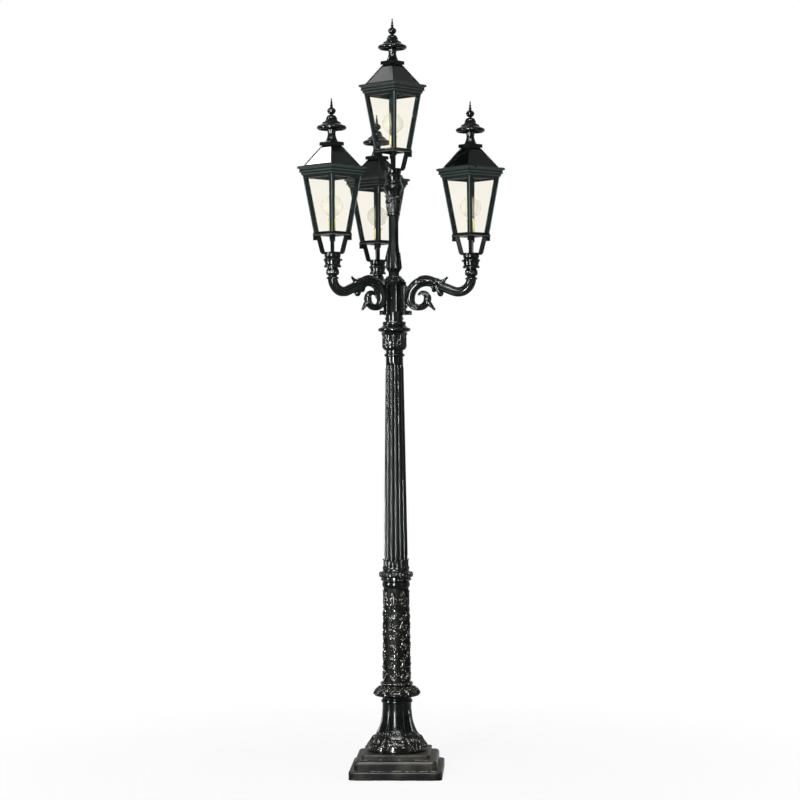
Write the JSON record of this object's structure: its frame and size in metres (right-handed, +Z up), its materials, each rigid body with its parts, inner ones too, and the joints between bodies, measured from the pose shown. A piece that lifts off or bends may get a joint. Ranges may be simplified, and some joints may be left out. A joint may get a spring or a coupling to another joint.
{
  "type": "lamp post",
  "caption": "Ornate cast garden lamp post: stepped plinth, fluted column and scroll arms that carry square tapered lanterns with hinged roofs.",
  "frame": {"origin": "centre of the plinth's underside, on the post's axis, where it stands on its footing", "axes": "+Z up the post; X and Y along the sides of the square plinth, with -Y towards the viewer"},
  "size_m": [1.1126, 1.1117, 4.1553],
  "materials": {
    "enamel": "gloss green-black enamel on cast metal",
    "bare_steel": "zinc-plated steel",
    "pane_glass": "clear, faintly cream",
    "lamp_glass": "opal",
    "tray_enamel": "pale grey paint",
    "holder": "olive-cream moulding"
  },
  "bodies": {
    "post": {"base_plinth": "enamel", "anchor_flange": "bare_steel", "core_tube": "bare_steel", "pedestal": "enamel", "leaf_collar": "enamel", "lower_shaft": "enamel", "shaft_band": "enamel", "fluted_column": "enamel", "capital": "enamel", "crown_hub": "enamel", "hub_cap": "enamel", "stem": "enamel", "stem_capital": "enamel", "stem_tube": "bare_steel", "arm_right": "enamel", "arm_back": "enamel", "arm_left": "enamel", "arm_bolts": "bare_steel", "lamp_trays": "tray_enamel", "lampholders": "holder", "hinge_pins": "bare_steel", "lock_screws": "bare_steel", "set_screws": "bare_steel", "socket_right": "enamel", "cradle_right": "enamel", "lantern_frame_right": "enamel", "glass_right": "pane_glass", "globe_lamp_right": "lamp_glass", "socket_back": "enamel", "cradle_back": "enamel", "lantern_frame_back": "enamel", "glass_back": "pane_glass", "globe_lamp_back": "lamp_glass", "socket_left": "enamel", "cradle_left": "enamel", "lantern_frame_left": "enamel", "glass_left": "pane_glass", "globe_lamp_left": "lamp_glass", "socket_top": "enamel", "cradle_top": "enamel", "lantern_frame_top": "enamel", "glass_top": "pane_glass", "globe_lamp_top": "lamp_glass"},
    "lantern_roof_right": {"roof_right": "enamel", "vent_neck_right": "enamel", "vent_cap_right": "enamel", "finial_right": "enamel"},
    "lantern_roof_back": {"roof_back": "enamel", "vent_neck_back": "enamel", "vent_cap_back": "enamel", "finial_back": "enamel"},
    "lantern_roof_left": {"roof_left": "enamel", "vent_neck_left": "enamel", "vent_cap_left": "enamel", "finial_left": "enamel"},
    "lantern_roof_top": {"roof_top": "enamel", "vent_neck_top": "enamel", "vent_cap_top": "enamel", "finial_top": "enamel"}
  },
  "joints": [
    {"name": "roof_hinge_right", "type": "hinge", "parent": "post", "child": "lantern_roof_right", "pos_m": [0.51055, -0.03759, 3.323], "axis": [-0.682, 0.7314, 0], "range_deg": [0, 95]},
    {"name": "roof_hinge_back", "type": "hinge", "parent": "post", "child": "lantern_roof_back", "pos_m": [-0.20247, 0.49902, 3.323], "axis": [-0.6293, -0.7771, 0], "range_deg": [0, 95]},
    {"name": "roof_hinge_left", "type": "hinge", "parent": "post", "child": "lantern_roof_left", "pos_m": [-0.39853, -0.23911, 3.323], "axis": [-0.6561, -0.7547, 0], "range_deg": [0, 95]},
    {"name": "roof_hinge_top", "type": "hinge", "parent": "post", "child": "lantern_roof_top", "pos_m": [-0.08782, 0.07111, 3.799], "axis": [-0.6293, -0.7771, 0], "range_deg": [0, 95]}
  ]
}
